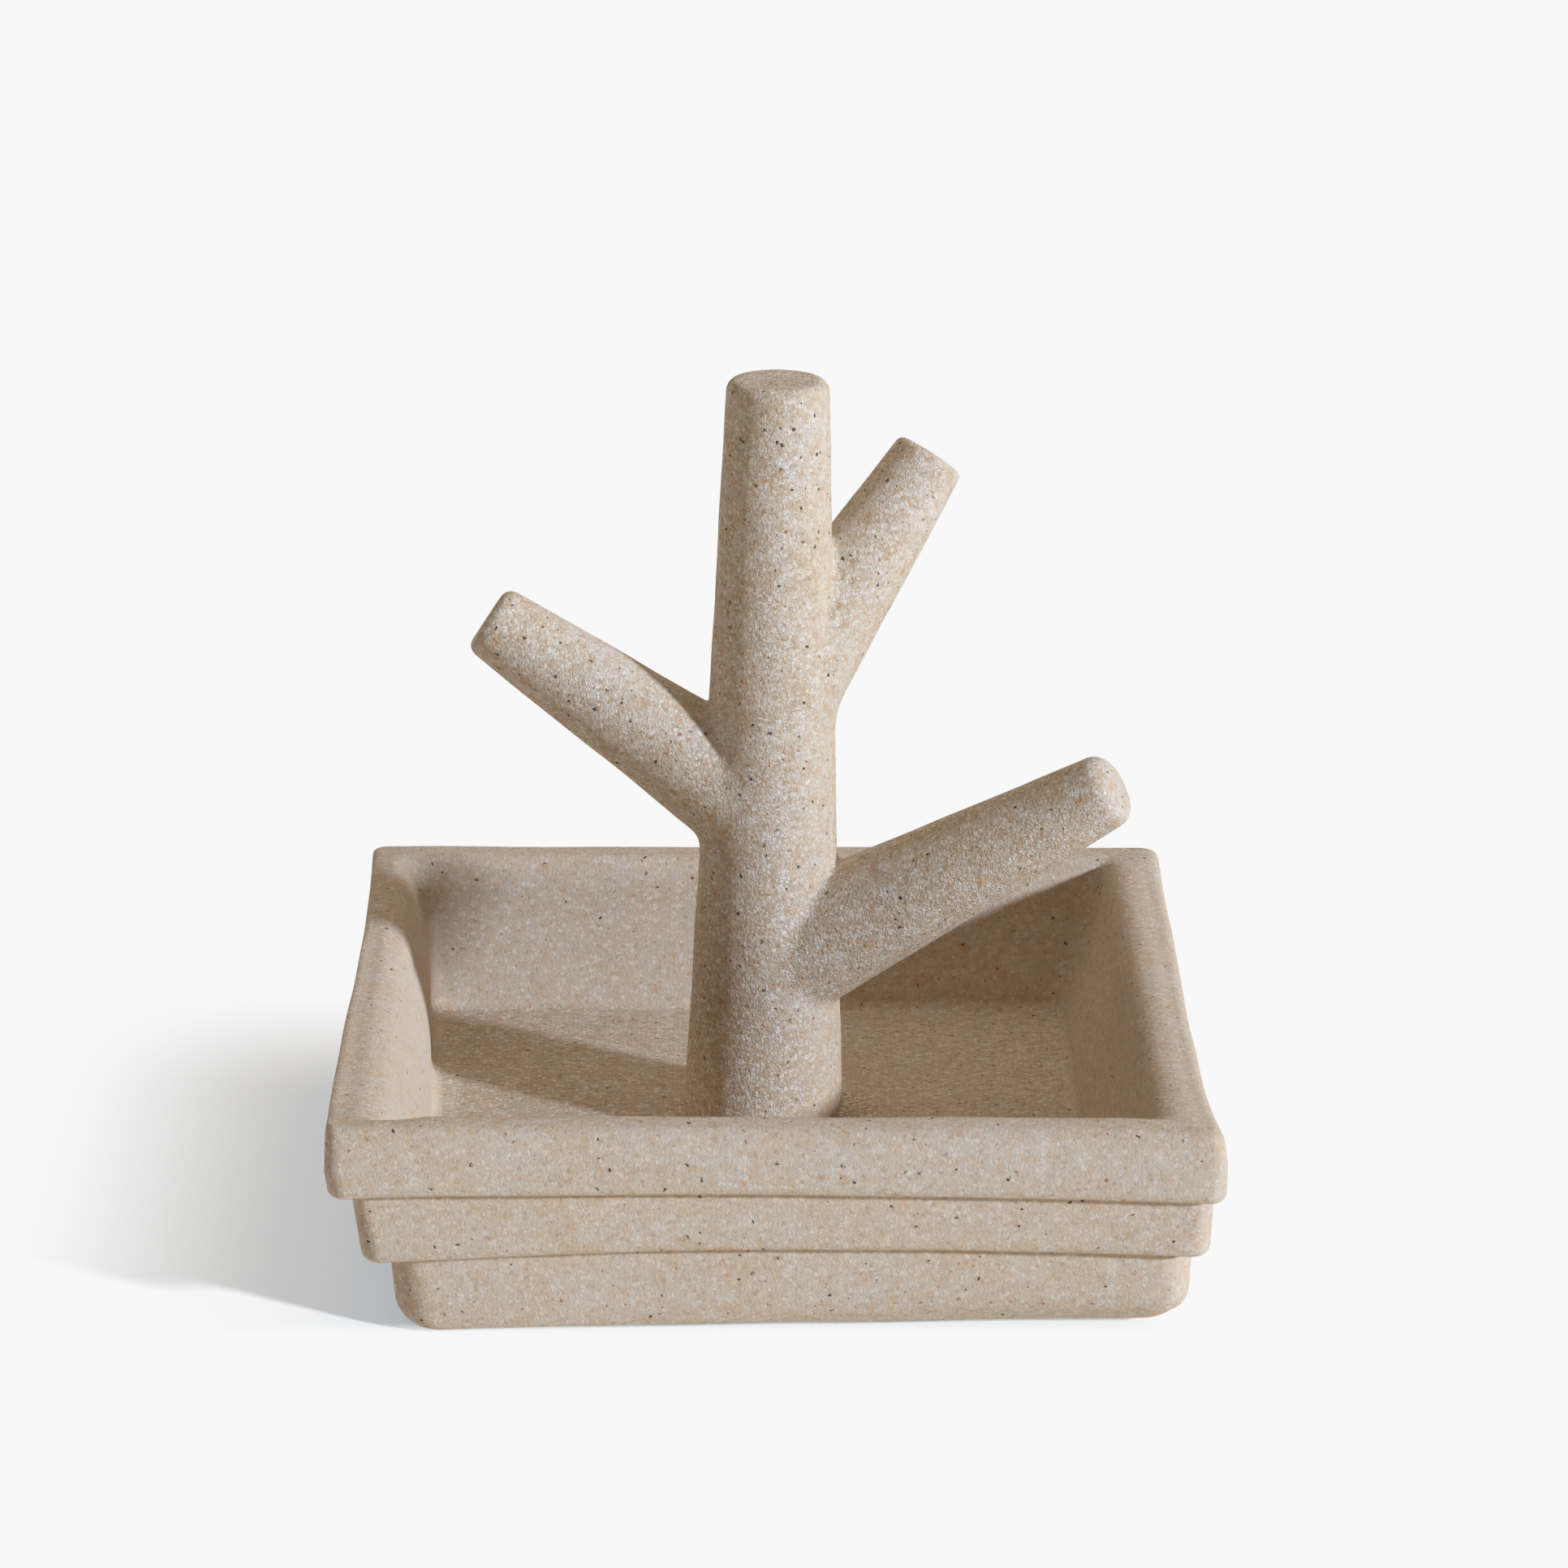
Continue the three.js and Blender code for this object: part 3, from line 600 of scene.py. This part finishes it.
def cast_tree():
    """The casting's skin: trunk and branches melted together, the socket taken out of the foot."""
    sizes = {
        "Foot": (screw_x, 0.0, tray_floor),
        "Trunk direction": tuple(Vector((trunk_lean, 0, trunk_height)).normalized()),
        "Trunk length": trunk_height,
        "Trunk foot radius": trunk_foot_radius,
        "Trunk top radius": trunk_top_radius,
        "Trunk waist": trunk_waist,
        "Socket radius": socket_radius,
        "Socket depth": socket_depth,
        "Unevenness": tree_unevenness,
        "Low corner": (-56.0, -26.0, tray_floor - 2),
        "High corner": (60.0, 26.0, tray_floor + trunk_height + 2),
        "Resin": cast_resin,
    }
    for name, height, length, radius, bearing, rise, above, below, end_round in branches:
        root_x = screw_x + trunk_lean * height / trunk_height
        own = {
            "root": (root_x, 0.0, tray_floor + height),
            "direction": tuple(heading(bearing, rise)),
            "length": length,
            "radius": radius,
            "fillet above": above,
            "fillet below": below,
            "end rounding": end_round,
        }
        sizes.update({f"{name} {label}": value for label, value in own.items()})
    tree, given, result = new_tree("cast_tree", sizes, "NodeSocketGeometry")
    bar = tapered_bar()
    place = add(tree, "GeometryNodeInputPosition")
    spot = add(tree, "SeparateXYZ", place).outputs

    foot_rounding = add(
        tree, "MapRange", spot["X"], -8.0, 8.0, foot_round_left, foot_round_right,
        interpolation_type="SMOOTHSTEP",
    )
    casting = add(
        tree, "GeometryNodeGroup", place, given["Foot"], given["Trunk direction"],
        given["Trunk length"], given["Trunk foot radius"], given["Trunk top radius"],
        foot_rounding, trunk_top_round, given["Trunk waist"], node_tree=bar,
    )
    for name, *_ in branches:
        branch = add(
            tree, "GeometryNodeGroup", place, given[name + " root"], given[name + " direction"],
            given[name + " length"], given[name + " radius"], branch_end_radius, branch_root_round,
            given[name + " end rounding"], 0.0, node_tree=bar,
        )
        root = add(tree, "SeparateXYZ", given[name + " root"]).outputs["Z"]
        high = add(tree, "Math", root, crotch_height, operation="ADD")
        fillet = add(
            tree, "MapRange", spot["Z"], root, high, given[name + " fillet below"],
            given[name + " fillet above"], interpolation_type="SMOOTHSTEP",
        )
        casting = add(tree, "Math", casting, branch, fillet, operation="SMOOTH_MIN")

    swells = add(tree, "TexNoise", named={"Vector": place, "Scale": 1 / tree_swell, "Detail": 1.0})
    swells = add(tree, "Math", swells, 0.5, operation="SUBTRACT")
    swells = add(tree, "Math", swells, given["Unevenness"], operation="MULTIPLY")
    near_foot = add(tree, "MapRange", spot["Z"], tray_floor, tray_floor + 3)
    swells = add(tree, "Math", swells, near_foot, operation="MULTIPLY")
    casting = add(tree, "Math", casting, swells, operation="ADD")

    foot = add(tree, "SeparateXYZ", given["Foot"]).outputs
    from_axis = add(tree, "Math", spot["X"], foot["X"], operation="SUBTRACT")
    from_axis = add(tree, "CombineXYZ", from_axis, spot["Y"], 0.0)
    from_axis = add(tree, "VectorMath", from_axis, operation="LENGTH").outputs["Value"]
    bore = add(tree, "Math", given["Socket radius"], from_axis, operation="SUBTRACT")
    top = add(tree, "Math", foot["Z"], given["Socket depth"], operation="ADD")
    roof = add(tree, "Math", top, spot["Z"], operation="SUBTRACT")
    bore = add(tree, "Math", bore, roof, operation="MINIMUM")
    casting = add(tree, "Math", casting, bore, operation="MAXIMUM")
    filled = add(tree, "Math", casting, -1.0, operation="MULTIPLY")

    extent = [(high - low) / cell for low, high in zip(sizes["Low corner"], sizes["High corner"])]
    volume = add(
        tree, "GeometryNodeVolumeCube", filled, -1.0, given["Low corner"], given["High corner"],
        *[int(count) for count in extent],
    )
    skin = add(tree, "GeometryNodeVolumeToMesh", volume, named={"Threshold": 0.0})
    skin = add(tree, "GeometryNodeTransform", skin, named={"Scale": (MM, MM, MM)})
    skin = add(tree, "GeometryNodeSetShadeSmooth", skin)
    skin = add(tree, "GeometryNodeRealizeInstances", skin)
    skin = add(tree, "GeometryNodeSetMaterial", skin, named={"Material": given["Resin"]})
    tree.links.new(skin.outputs[0], result)
    return tree, sizes


def made_by(tree, sizes, name):
    """Runs a Geometry Nodes tree with these inputs and keeps what it makes as a plain mesh."""
    carrier = placed(name + "_maker", bpy.data.meshes.new(name + "_maker"))
    modifier = carrier.modifiers.new("maker", "NODES")
    modifier.node_group = tree
    for socket in tree.interface.items_tree:
        if socket.in_out == "INPUT":
            modifier[socket.identifier] = sizes[socket.name]
    bpy.context.view_layer.update()
    seen = carrier.evaluated_get(bpy.context.evaluated_depsgraph_get())
    mesh = bpy.data.meshes.new_from_object(seen)
    bpy.data.objects.remove(carrier)
    mesh.name = name
    return placed(name, mesh)


tree_nodes, tree_sizes = cast_tree()
tree = made_by(tree_nodes, tree_sizes, "tree_casting")
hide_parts("tree")
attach(tree, "root")


# Threaded insert: a turned brass bush cast into the foot of the trunk, with an M5 thread inside.
# Straight knurling on its bands and the grooves between them key it into the resin.

insert_low, insert_high = [corner.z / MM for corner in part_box("threaded_insert")]
insert_radius = 4.2
insert_groove = 0.5
insert_bands = 5
insert_chamfer = 0.25
insert_mouth = 0.35  # the bore widens by this at both ends
knurl_ribs = 30
knurl_depth = 0.16
thread_pitch = 0.8
thread_depth = 0.44
thread_play = 0.04
thread_run_out = 0.8
thread_flank, thread_crest = 1.35, 0.15  # how steep its flanks are, and how flat its crest is
tool_ring = 0.12  # from one fine ring of the turning tool to the next
screw_radius = 2.5


def turned(name, profile, around=72, shape=None, closed=True):
    """A turned piece on the screw's axis. Its profile is (radius, z) points, the metal on their left.

    shape(turn, radius, z) may give another radius at each point. An open profile ends on the axis.
    """
    mesh = bpy.data.meshes.new(name)
    points, rings = [], []
    for radius, z in profile:
        ring = []
        for step in range(around if radius > 0 else 1):
            turn = step / around * 2 * math.pi
            r = shape(turn, radius, z) if shape and radius > 0 else radius
            ring.append(len(points))
            points.append((screw_x + r * math.cos(turn), r * math.sin(turn), z))
        rings.append(ring)
    faces = []
    for i in range(len(rings) if closed else len(rings) - 1):
        low, high = rings[i], rings[(i + 1) % len(rings)]
        for a in range(around):
            b = (a + 1) % around
            corners = [low[a % len(low)], low[b % len(low)]]
            corners += [high[b % len(high)], high[a % len(high)]]
            faces.append(list(dict.fromkeys(corners)))  # a ring on the axis is one point
    mesh.from_pydata([tuple(c * MM for c in p) for p in points], [], faces)
    return smooth_piece(name, mesh)


def thread(turn, z):
    """How deep an M5 thread is cut at this place, from 0 on its crest to 1 in its root."""
    phase = (z / thread_pitch - turn / (2 * math.pi)) % 1
    return min(max(abs(phase - 0.5) * 2 * thread_flank - thread_crest, 0), 1)


def make_insert():
    inside_z = np.arange(insert_high - 0.5, insert_low + 0.4, -thread_pitch / 8)
    bore = screw_radius + thread_play
    profile = [(bore + insert_mouth, insert_high), (bore, insert_high - 0.4)]
    profile += [(bore, z) for z in inside_z]
    profile += [(bore, insert_low + 0.4), (bore + insert_mouth, insert_low)]
    band = (insert_high - insert_low) / insert_bands
    for i in range(insert_bands):
        radius = insert_radius - (insert_groove if i % 2 else 0)
        low, high = insert_low + i * band, insert_low + (i + 1) * band
        chamfer = insert_chamfer if i % 2 == 0 else 0.0
        profile += [(radius - chamfer, low + 0.02), (radius, low + chamfer + 0.04)]
        profile += [(radius, (low + high) / 2)]
        profile += [(radius, high - chamfer - 0.04), (radius - chamfer, high - 0.02)]

    def shape(turn, radius, z):
        if radius < bore + 0.1:
            fade = min(1, (z - insert_low) / thread_run_out, (insert_high - z) / thread_run_out)
            return radius - thread_depth * (1 - thread(turn, z)) * max(fade, 0)
        if radius > insert_radius - 0.1:
            return radius - knurl_depth * (0.5 - 0.5 * math.cos(turn * knurl_ribs))
        return radius

    profile.reverse()
    return turned("threaded_insert_turned", profile, 180, shape)


def turned_brass():
    """Free-cutting brass, turned and left bare: warm yellow, with fine tool rings and faint tarnish."""
    material, tree, place, surface = patchy(
        "turned_brass", 3.0, 4.0, (0.4, 0.7), ("#DDBE74", "#B08D4A"), (0.26, 0.45)
    )
    height = add(tree, "SeparateXYZ", place).outputs["Z"]
    rings = add(tree, "Math", height, 2 * math.pi / tool_ring, operation="MULTIPLY")
    rings = add(tree, "Math", rings, operation="SINE")
    bump = add(tree, "Bump", named={"Height": rings, "Distance": 0.004 * MM, "Strength": 0.5})
    surface.update({"Metallic": 1.0, "Normal": bump})
    shader = add(tree, "BsdfPrincipled", named=surface)
    add(tree, "OutputMaterial", shader)
    return material


insert = make_insert()
insert.data.materials.append(turned_brass())
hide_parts("threaded_insert")
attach(insert, "root")


# Washer and screw: a plain washer and a button-head M5 screw in zinc-plated steel. From below,
# the screw pulls the tree down on the tray; both sit in the counterbore and stay off the table.

washer_low, washer_high = [corner.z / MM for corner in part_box("washer")]
screw_low, screw_tip = [corner.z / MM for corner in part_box("fixing_screw")]
washer_radius = 5.4
washer_hole = 2.8
washer_edge = 0.15  # stamping leaves its edges a little round
head_radius = 4.6
head_height = 2.8
head_flat = 2.5  # radius of the flat face round the socket
dome_radius = 1.7
socket_half_flats = 1.5
screw_socket_depth = 1.5
tip_chamfer = 0.7


def make_washer():
    low, high = (washer_low, 1), (washer_high, -1)
    inner, outer = (washer_hole, 1), (washer_radius, -1)
    profile = []
    for (radius, out), (z, up) in ((inner, low), (outer, low), (outer, high), (inner, high)):
        e = washer_edge
        edge = [(radius, z + up * e)]
        edge += [(radius + out * e * 0.3, z + up * e * 0.3), (radius + out * e, z)]
        profile += edge if out == up else edge[::-1]
    return turned("washer_stamped", profile, 96)


def make_screw():
    z = screw_low
    seat = z + head_height
    socket_end = z + screw_socket_depth
    flats = socket_half_flats
    profile = [(0, socket_end + 0.5), (flats - 0.3, socket_end + 0.12), (flats, socket_end)]
    profile += [(flats, z + screw_socket_depth * share) for share in (0.75, 0.5, 0.25)]
    profile += [(flats, z + 0.15), (flats + 0.12, z), (head_flat, z)]
    for step in range(1, 9):
        turn = step / 8 * math.pi / 2
        radius = head_radius + dome_radius * (math.sin(turn) - 1)
        profile.append((radius, z + dome_radius * (1 - math.cos(turn))))
    profile += [(head_radius, seat - 0.35), (head_radius - 0.15, seat), (screw_radius + 0.25, seat)]
    profile += [(screw_radius, seat + 0.25)]
    thread_end = screw_tip - tip_chamfer
    thread_heights = np.arange(seat + 0.5, thread_end, thread_pitch / 8)
    profile += [(screw_radius, height) for height in thread_heights]
    profile += [(screw_radius, thread_end), (screw_radius - tip_chamfer, screw_tip), (0, screw_tip)]

    def shape(turn, radius, height):
        if height < seat and abs(radius - flats) < 0.2:
            from_flat = (turn + math.pi / 6) % (math.pi / 3) - math.pi / 6
            return radius / math.cos(from_flat)
        if height > seat + 0.4 and radius > screw_radius - tip_chamfer - 0.01:
            fade = min(1, (height - seat - 0.4) / thread_run_out)
            return min(radius, screw_radius - thread_depth * thread(turn, height) * fade)
        return radius

    return turned("fixing_screw_threaded", profile, 96, shape, closed=False)


def zinc_plate():
    """Zinc-plated steel, clear passivated: bright grey with a bluish bloom and soft spangles."""
    material, tree, place, surface = patchy(
        "zinc_plated_steel", 2.2, 5.0, (0.38, 0.66), ("#D4D7DB", "#B3BAC6"), (0.3, 0.5)
    )
    grit = add(tree, "TexNoise", named={"Vector": place, "Scale": 1 / 0.15, "Detail": 3.0})
    bump = add(tree, "Bump", named={"Height": grit, "Distance": 0.004 * MM, "Strength": 0.5})
    surface.update({"Metallic": 1.0, "Normal": bump})
    shader = add(tree, "BsdfPrincipled", named=surface)
    add(tree, "OutputMaterial", shader)
    return material


zinc = zinc_plate()
for fastener, node in ((make_washer(), "washer"), (make_screw(), "fixing_screw")):
    fastener.data.materials.append(zinc)
    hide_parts(node)
    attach(fastener, "root")


# Feet: four round self-adhesive pads of clear polyurethane under the tray's corners, low discs with
# a rounded lower edge. They grip the table and hold the tray a millimetre clear of it.

pad_names = ["foot_pad_front_left", "foot_pad_front_right"]
pad_names += ["foot_pad_back_left", "foot_pad_back_right"]
pad_edge = 0.35  # rounding of the lower edge


def clear_polyurethane():
    """Soft clear polyurethane, slightly milky: light passes in, glows at the rim, comes out dull."""
    material, tree, place, surface = patchy(
        "clear_polyurethane", 0.8, 4.0, (0.5, 0.75), ("#E9E9E4", "#CFCBC1"), (0.22, 0.5)
    )
    surface.update({"IOR": 1.5, "Transmission Weight": 0.6})
    shader = add(tree, "BsdfPrincipled", named=surface)
    add(tree, "OutputMaterial", shader)
    return material


def pad_maker(corners):
    """Geometry Nodes: one pad, bent round from a flat grid, set at each of the four corners."""
    low, high = corners[0]
    middles_x = [(low.x + high.x) / 2 for low, high in corners]
    middles_y = [(low.y + high.y) / 2 for low, high in corners]
    sizes = {
        "Radius": (high.x - low.x) / 2,
        "Thickness": high.z - low.z,
        "Edge": pad_edge * MM,
        "Half apart X": (max(middles_x) - min(middles_x)) / 2,
        "Half apart Y": (max(middles_y) - min(middles_y)) / 2,
        "Middle X": sum(middles_x) / 4,
        "Polyurethane": clear_polyurethane(),
    }
    tree, given, result = new_tree("corner_pads", sizes, "NodeSocketGeometry")
    around, up = 48, 13
    grid = add(tree, "GeometryNodeMeshGrid", 1.0, 1.0, around + 1, up)
    flat = add(tree, "SeparateXYZ", add(tree, "GeometryNodeInputPosition")).outputs
    turn = add(tree, "Math", flat["X"], 2 * math.pi, operation="MULTIPLY")
    share = add(tree, "Math", flat["Y"], 0.5, operation="ADD")

    # profile: flat below for a third, then a quarter turn and the wall, then flat above
    bend = add(tree, "MapRange", share, 1 / 3, 2 / 3, 0, math.pi / 2)
    flat_below = add(tree, "MapRange", share, 0, 1 / 3)
    flat_above = add(tree, "MapRange", share, 2 / 3, 1, 1, 0)
    core = add(tree, "Math", given["Radius"], given["Edge"], operation="SUBTRACT")
    out = add(tree, "Math", bend, operation="SINE")
    out = add(tree, "Math", out, given["Edge"], operation="MULTIPLY")
    radius = add(tree, "Math", core, flat_below, operation="MULTIPLY")
    radius = add(tree, "Math", radius, out, operation="ADD")
    radius = add(tree, "Math", radius, flat_above, operation="MULTIPLY")
    lift = add(tree, "Math", bend, operation="COSINE")
    lift = add(tree, "Math", 1.0, lift, operation="SUBTRACT")
    lift = add(tree, "Math", lift, given["Edge"], operation="MULTIPLY")
    wall = add(tree, "MapRange", share, 7 / 12, 2 / 3)
    rest = add(tree, "Math", given["Thickness"], given["Edge"], operation="SUBTRACT")
    rest = add(tree, "Math", wall, rest, operation="MULTIPLY")
    lift = add(tree, "Math", lift, rest, operation="ADD")
    across = add(tree, "Math", turn, operation="COSINE")
    across = add(tree, "Math", radius, across, operation="MULTIPLY")
    deep = add(tree, "Math", turn, operation="SINE")
    deep = add(tree, "Math", radius, deep, operation="MULTIPLY")
    round_place = add(tree, "CombineXYZ", across, deep, lift)
    pad = add(tree, "GeometryNodeSetPosition", grid, named={"Position": round_place})
    pad = add(tree, "GeometryNodeMergeByDistance", pad, named={"Distance": 0.001 * MM})
    pad = add(tree, "GeometryNodeSetShadeSmooth", pad)

    width = add(tree, "Math", given["Half apart X"], 2.0, operation="MULTIPLY")
    depth = add(tree, "Math", given["Half apart Y"], 2.0, operation="MULTIPLY")
    spots = add(tree, "GeometryNodeMeshGrid", width, depth, 2, 2)
    shift = add(tree, "CombineXYZ", given["Middle X"], 0.0, 0.0)
    spots = add(tree, "GeometryNodeTransform", spots, named={"Translation": shift})
    pads = add(tree, "GeometryNodeInstanceOnPoints", spots, named={"Instance": pad})
    pads = add(tree, "GeometryNodeRealizeInstances", pads)
    pads = add(tree, "GeometryNodeSetMaterial", pads, named={"Material": given["Polyurethane"]})
    tree.links.new(pads.outputs[0], result)
    return tree, sizes


pad_nodes, pad_sizes = pad_maker([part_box(name) for name in pad_names])
pads = made_by(pad_nodes, pad_sizes, "foot_pads")
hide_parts(*pad_names)
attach(pads, "root")


# Floor: a plain pale sheet that runs on behind the object. It keeps the object's shadow, and shows
# almost white to the camera and in reflections without throwing more light on the object.

# The sheet takes the shadow only between these places, in mm: it comes in from the first to the
# second and is gone again from the third to the fourth.
shadow_across = (-110.0, -66.0, 48.0, 54.0)
shadow_deep = (-53.0, -48.0, 36.0, 86.0)
backdrop = (0.939, 0.939, 0.939, 1)
card_colour, card_glow = (0.696, 0.597, 0.480, 1), (0.105, 0.239, 0.348, 1)
# towards the object the sheet also glows faintly: painted bounce light on the object
dull_colour, bounce_glow = (0.80, 0.70, 0.57, 1), (0.18, 0.2, 0.22, 1)  # as the object sees it


def shown(tree):
    """1 for what the camera sees, also in gloss or through something clear, and 0 for other rays."""
    rays = add(tree, "LightPath").outputs
    seen = rays["Is Camera Ray"]
    for kind in ("Is Glossy Ray", "Is Transmission Ray"):
        seen = add(tree, "Math", seen, rays[kind], operation="MAXIMUM")
    return seen


def pale_sheet():
    """Matt pale card under a bright sweep: smooth and even, and only the object's shadow marks it."""
    material, tree, place = new_material("matt_pale_card")
    spot = add(tree, "SeparateXYZ", place).outputs
    near = None
    for axis, (out, full, still, gone) in (("X", shadow_across), ("Y", shadow_deep)):
        along = spot[axis]
        rise = add(tree, "MapRange", along, out, full, interpolation_type="SMOOTHSTEP")
        fall = add(tree, "MapRange", along, gone, still, interpolation_type="SMOOTHSTEP")
        between = add(tree, "Math", rise, fall, operation="MULTIPLY")
        near = add(tree, "Math", near, between, operation="MULTIPLY") if near else between

    # two coats keep the lit sheet as pale as the backdrop, although the lamp is low
    coat = add(tree, "BsdfDiffuse", card_colour)
    card = add(tree, "AddShader", coat, coat)
    glow = add(tree, "Emission", card_glow, 1.0)
    card = add(tree, "AddShader", card, glow)
    sweep = add(tree, "Emission", backdrop, 1.0)
    bright = add(tree, "MixShader", near, sweep, card)

    dull = add(tree, "BsdfDiffuse", dull_colour)
    lift = add(tree, "Emission", bounce_glow, 1.0)
    dull = add(tree, "AddShader", dull, lift)
    shader = add(tree, "MixShader", shown(tree), dull, bright)

    # from below the sheet isn't there, so that the object's underside shows
    below = add(tree, "NewGeometry").outputs["Backfacing"]
    clear = add(tree, "BsdfTransparent")
    shader = add(tree, "MixShader", below, shader, clear)
    add(tree, "OutputMaterial", shader)
    return material


half_floor = 4.0
floor_mesh = bpy.data.meshes.new("floor")
signs = ((-1, -1), (1, -1), (1, 1), (-1, 1))
floor_corners = [(x * half_floor, y * half_floor, 0) for x, y in signs]
floor_mesh.from_pydata(floor_corners, [], [(0, 1, 2, 3)])
floor = placed("floor", floor_mesh)
floor.data.materials.append(pale_sheet())


# Light: one soft lamp, low, to the right and in front, and a warm fill mostly from overhead.

key_bearing = -32.7  # degrees from due right, less than 0 in front
key_height = 17.6
key = bpy.data.lights.new("key", "SUN")
key.energy = 3.0
key.color = (0.85, 1.0, 1.27)
key.angle = math.radians(4.5)
key_object = placed("key", key)
key_object.rotation_mode = "QUATERNION"
key_object.rotation_quaternion = heading(key_bearing, key_height).to_track_quat("Z", "Y")


def overhead_fill():
    """A dim room: warm light from overhead and behind that fades to nothing at the horizon."""
    world = bpy.data.worlds.new("overhead_fill")
    world.use_nodes = True
    tree = world.node_tree
    tree.nodes.clear()
    direction = add(tree, "TexCoord").outputs["Generated"]
    parts = add(tree, "SeparateXYZ", direction).outputs
    height = add(tree, "Math", parts["Z"], 0.0, operation="MAXIMUM")
    height = add(tree, "Math", height, 1.3, operation="POWER")
    # the backdrop throws some light forwards, the room in front throws none
    depth = add(tree, "MapRange", parts["Y"], -1, 1, 0.1, 1.9)
    strength = add(tree, "Math", height, depth, operation="MULTIPLY")
    # lamplight from the sides, daylight from above
    lamplight, daylight = (0.64, 0.47, 0.32, 1), (0.56, 0.49, 0.43, 1)
    tint = add(tree, "Mix", parts["Z"], lamplight, daylight, data_type="RGBA")
    fill = add(tree, "Background", tint.outputs[2], strength)
    sweep = add(tree, "Background", backdrop, 1.0)
    background = add(tree, "MixShader", shown(tree), fill, sweep)
    add(tree, "OutputWorld", background)
    return world


bpy.context.scene.world = overhead_fill()
bpy.context.scene.view_settings.view_transform = "Standard"


# Camera: at the photograph's viewing angle, 18 degrees above the tray and almost square to its front.

aim = Vector((1.498, 0, 61.163)) * MM
away = 837.7 * MM
back = heading(-90.799, 17.946)  # from what the camera aims at to the camera
roll = math.radians(0.385)
right = (-back).cross(Vector((0, 0, 1))).normalized()
up = right.cross(-back)
rolled_right = right * math.cos(roll) + up * math.sin(roll)
rolled_up = up * math.cos(roll) - right * math.sin(roll)
lens = bpy.data.cameras.new("camera")
lens.sensor_width = 36
lens.lens = 137.25
lens.clip_start = 0.01
camera = placed("camera", lens)
turned_frame = Matrix((rolled_right, rolled_up, back)).transposed().to_4x4()
camera.matrix_world = Matrix.Translation(aim + back * away) @ turned_frame
bpy.context.scene.camera = camera
